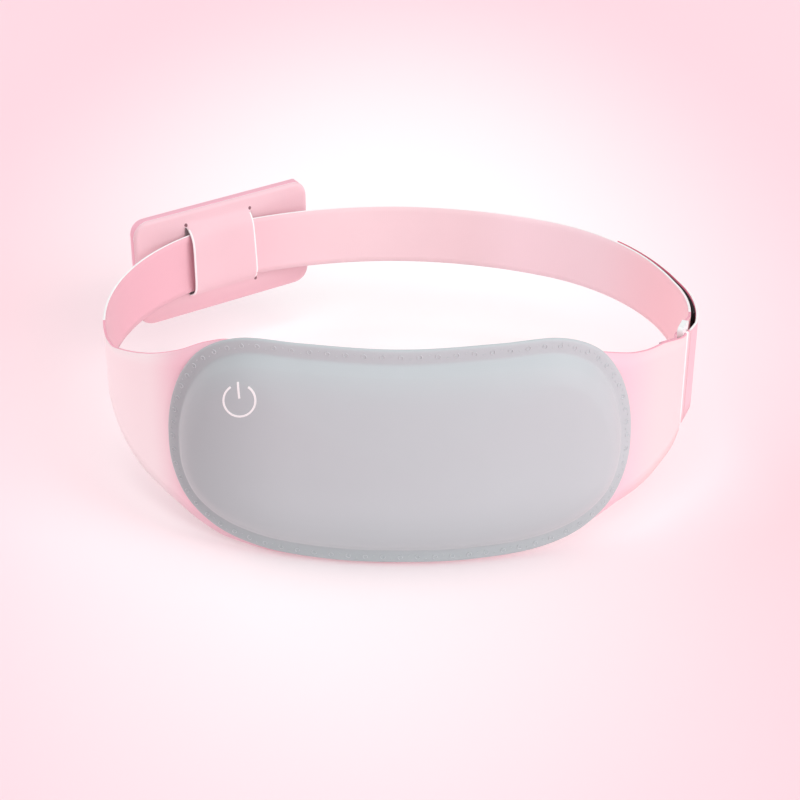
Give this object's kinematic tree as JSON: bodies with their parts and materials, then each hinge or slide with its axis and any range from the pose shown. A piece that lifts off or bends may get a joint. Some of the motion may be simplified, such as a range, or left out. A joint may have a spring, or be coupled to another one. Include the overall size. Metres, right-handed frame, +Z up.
{
  "type": "heated massage belt",
  "caption": "Padded heating and vibrating panel on a flat fabric waist strap, with a power button, an adjuster ring and a slide-on battery pouch.",
  "frame": {"origin": "middle of the overall box, on the resting level (the lowest point of the pad's back panel); the centre of the strap loop is 1.7 mm towards -X and 1.2 mm towards -Y of it", "axes": "+Z up along the height of the standing belt, -Y outwards from the middle of the pad, +X to the right as the pad is looked at, towards the adjuster ring"},
  "size_m": [0.3048, 0.265, 0.1213],
  "materials": {
    "cover_fabric": "smooth moulded fabric, satin",
    "stitch_thread": "matte thread",
    "liner_plush": "soft short plush",
    "heating_film": "printed film",
    "band_fabric": "smooth laminated fabric with white core",
    "pouch_fabric": "smooth laminated fabric",
    "ring_plastic": "moulded, glossy",
    "hook_tape": "hook tape, rough",
    "white_plastic": "moulded",
    "case_plastic": "moulded, glossy",
    "black_plastic": "moulded",
    "board_green": "solder mask",
    "steel": "bright",
    "brass": "machined",
    "key_rubber": "soft silicone",
    "foam": "open-cell foam",
    "wire_red": "insulated wire",
    "wire_blue": "insulated wire",
    "wire_white": "insulated wire",
    "black_cable": "insulated cable",
    "cutout_sleeve": "woven sleeve over a thermal cut-out",
    "mark_white": "screen print",
    "cell_foil": "foil pouch"
  },
  "bodies": {
    "belt": {"front_cover": "cover_fabric", "border_stitch": "stitch_thread", "skin_liner": "liner_plush", "heating_film": "heating_film", "belt_band": "band_fabric", "adjuster_ring": "ring_plastic", "control_tray": "white_plastic", "control_board": "board_green", "board_chip": "black_plastic", "board_connector": "white_plastic", "switch_body": "black_plastic", "switch_dome": "steel", "motor_housing_left": "white_plastic", "motor_can_left": "steel", "motor_endcap_left": "white_plastic", "motor_housing_right": "white_plastic", "motor_can_right": "steel", "motor_endcap_right": "white_plastic", "foam_pad": "foam", "motor_lead_left": "wire_red", "motor_lead_right": "wire_blue", "supply_lead": "black_cable", "thermal_cutout": "cutout_sleeve", "cutout_lead": "wire_white", "power_mark_ring": "mark_white", "power_mark_bar": "mark_white"},
    "power_button": {"power_key": "key_rubber"},
    "weight_left": {"eccentric_weight_left": "brass"},
    "weight_right": {"eccentric_weight_right": "brass"},
    "tail": {"strap_tail": "band_fabric", "hook_tape": "hook_tape"},
    "pouch": {"pouch_panel": "band_fabric", "pouch_shell": "pouch_fabric", "usb_plug": "black_plastic", "plug_lead": "black_cable"},
    "battery": {"battery_case_inner": "case_plastic", "battery_case_outer": "case_plastic", "battery_cell_upper": "cell_foil", "battery_cell_lower": "cell_foil", "battery_board": "board_green", "usb_socket": "steel"}
  },
  "joints": [
    {"name": "power_press", "type": "slide", "parent": "belt", "child": "power_button", "axis": [0.3004, 0.9538, 0], "range_m": [0, 0.0006], "stiffness_N_per_m": 400},
    {"name": "weight_spin_left", "type": "hinge", "parent": "belt", "child": "weight_left", "pos_m": [-0.04555, -0.12003, 0.0565], "axis": [0, 0, 1], "continuous": true},
    {"name": "weight_spin_right", "type": "hinge", "parent": "belt", "child": "weight_right", "pos_m": [0.05207, -0.11787, 0.0565], "axis": [0, 0, 1], "continuous": true},
    {"name": "tail_peel", "type": "hinge", "parent": "belt", "child": "tail", "pos_m": [0.14631, -0.03468, 0.0585], "axis": [0, 0, 1], "range_deg": [-35, 0]},
    {"name": "pouch_slide", "type": "hinge", "parent": "belt", "child": "pouch", "pos_m": [-0.04135, -0.00122, 0.0585], "axis": [0, 0, 1], "range_deg": [-1.5, 38]},
    {"name": "battery_slide", "type": "slide", "parent": "pouch", "child": "battery", "axis": [0.8329, 0.5534, 0], "range_m": [0, 0.1]}
  ]
}
